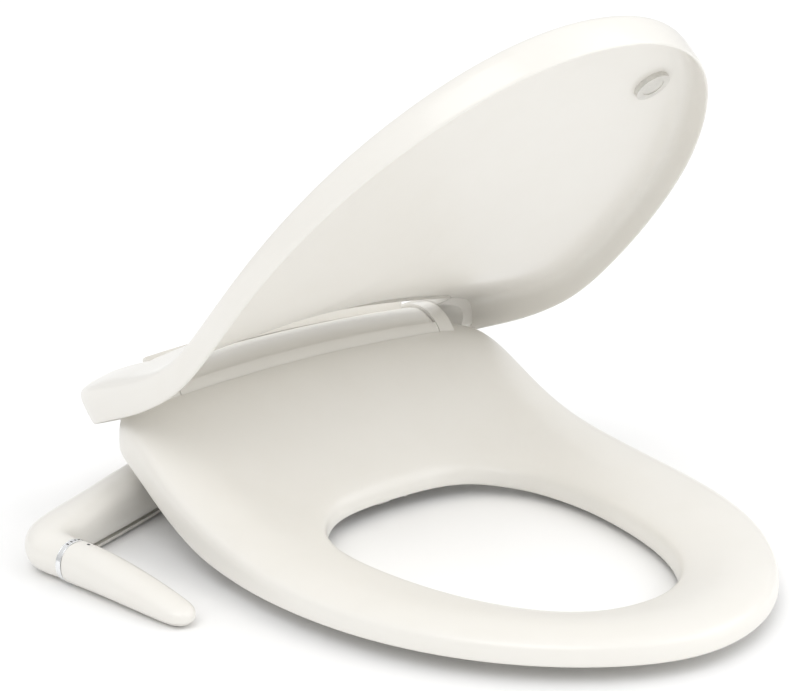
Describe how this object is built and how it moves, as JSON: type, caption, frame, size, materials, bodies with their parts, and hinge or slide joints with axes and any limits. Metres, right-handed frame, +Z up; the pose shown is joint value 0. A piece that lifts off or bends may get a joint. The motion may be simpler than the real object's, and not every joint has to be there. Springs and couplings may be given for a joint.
{
  "type": "bidet seat",
  "caption": "Elongated bidet toilet seat with a dished seat, deep lid, rear housing, twin wash wands and a twist lever on a side arm.",
  "frame": {"origin": "midway between the two mounting slots, on the underside of the mounting plate", "axes": "+Z up, -Y towards the front of the bowl, +X towards the sitter's left; the arm is on -X"},
  "size_m": [0.4604, 0.5206, 0.3959],
  "materials": {
    "shell_gloss": "glossy moulded",
    "base_plastic": "satin moulded",
    "pad_rubber": "soft matt",
    "seal_rubber": "matt black",
    "bright_ring": "mirror bright",
    "pin_steel": "ground",
    "valve_plastic": "matt grey",
    "hose_clear": "translucent-looking",
    "inlet_brass": "machined",
    "filter_mesh": "woven",
    "wand_plastic": "smooth"
  },
  "bodies": {
    "housing": {"mounting_plate": "base_plastic", "base_tray": "base_plastic", "housing_cover": "shell_gloss", "hinge_pin_left": "pin_steel", "hinge_pin_right": "pin_steel", "hinge_dampers": "valve_plastic", "nozzle_cradle": "base_plastic", "guard_bracket": "base_plastic", "guard_pin": "pin_steel", "manifold_body": "valve_plastic", "inlet_fitting": "inlet_brass", "inlet_filter": "filter_mesh", "pressure_regulator": "valve_plastic", "front_feed_tube": "hose_clear", "rear_feed_tube": "hose_clear", "arm_upper_shell": "shell_gloss", "arm_lower_cover": "base_plastic", "valve_sleeve": "valve_plastic", "arm_hose_inner": "hose_clear", "arm_hose_outer": "hose_clear", "trim_ring": "bright_ring"},
    "seat": {"seat_top_shell": "shell_gloss", "seat_bottom_plate": "base_plastic", "seat_bumpers": "pad_rubber"},
    "lid": {"lid_shell": "shell_gloss", "lid_bushings": "valve_plastic", "lid_bumpers": "pad_rubber"},
    "lever": {"lever_upper": "shell_gloss", "lever_lower": "base_plastic", "valve_spool": "valve_plastic", "spool_seals": "seal_rubber"},
    "front_wand": {"front_wand_tube": "wand_plastic", "front_wand_tip": "wand_plastic"},
    "rear_wand": {"rear_wand_tube": "wand_plastic", "rear_wand_tip": "wand_plastic"},
    "guard": {"nozzle_guard": "base_plastic"},
    "button": {"release_button": "shell_gloss", "release_latch": "base_plastic"}
  },
  "joints": [
    {"name": "seat_hinge", "type": "hinge", "parent": "housing", "child": "seat", "pos_m": [0, -0.015, 0.078], "axis": [-1, 0, 0], "range_deg": [0, 62]},
    {"name": "lid_hinge", "type": "hinge", "parent": "seat", "child": "lid", "pos_m": [0, -0.015, 0.078], "axis": [1, 0, 0], "range_deg": [-56, 47.3]},
    {"name": "lever_twist", "type": "hinge", "parent": "housing", "child": "lever", "pos_m": [-0.2512, -0.095, 0.0158], "axis": [0.1564, -0.9877, 0], "range_deg": [-50, 50]},
    {"name": "front_wand_slide", "type": "slide", "parent": "housing", "child": "front_wand", "axis": [0, -0.8829, -0.4695], "range_m": [0, 0.044], "stiffness_N_per_m": 20, "springref_m": -0.01},
    {"name": "rear_wand_slide", "type": "slide", "parent": "housing", "child": "rear_wand", "axis": [0, -0.8829, -0.4695], "range_m": [0, 0.044], "stiffness_N_per_m": 20, "springref_m": -0.01},
    {"name": "guard_hinge", "type": "hinge", "parent": "housing", "child": "guard", "pos_m": [0, -0.122, 0.024], "axis": [-1, 0, 0], "range_deg": [0, 30]},
    {"name": "button_slide", "type": "slide", "parent": "housing", "child": "button", "axis": [-1, 0, 0], "range_m": [0, 0.003], "stiffness_N_per_m": 400, "springref_m": -0.004}
  ]
}
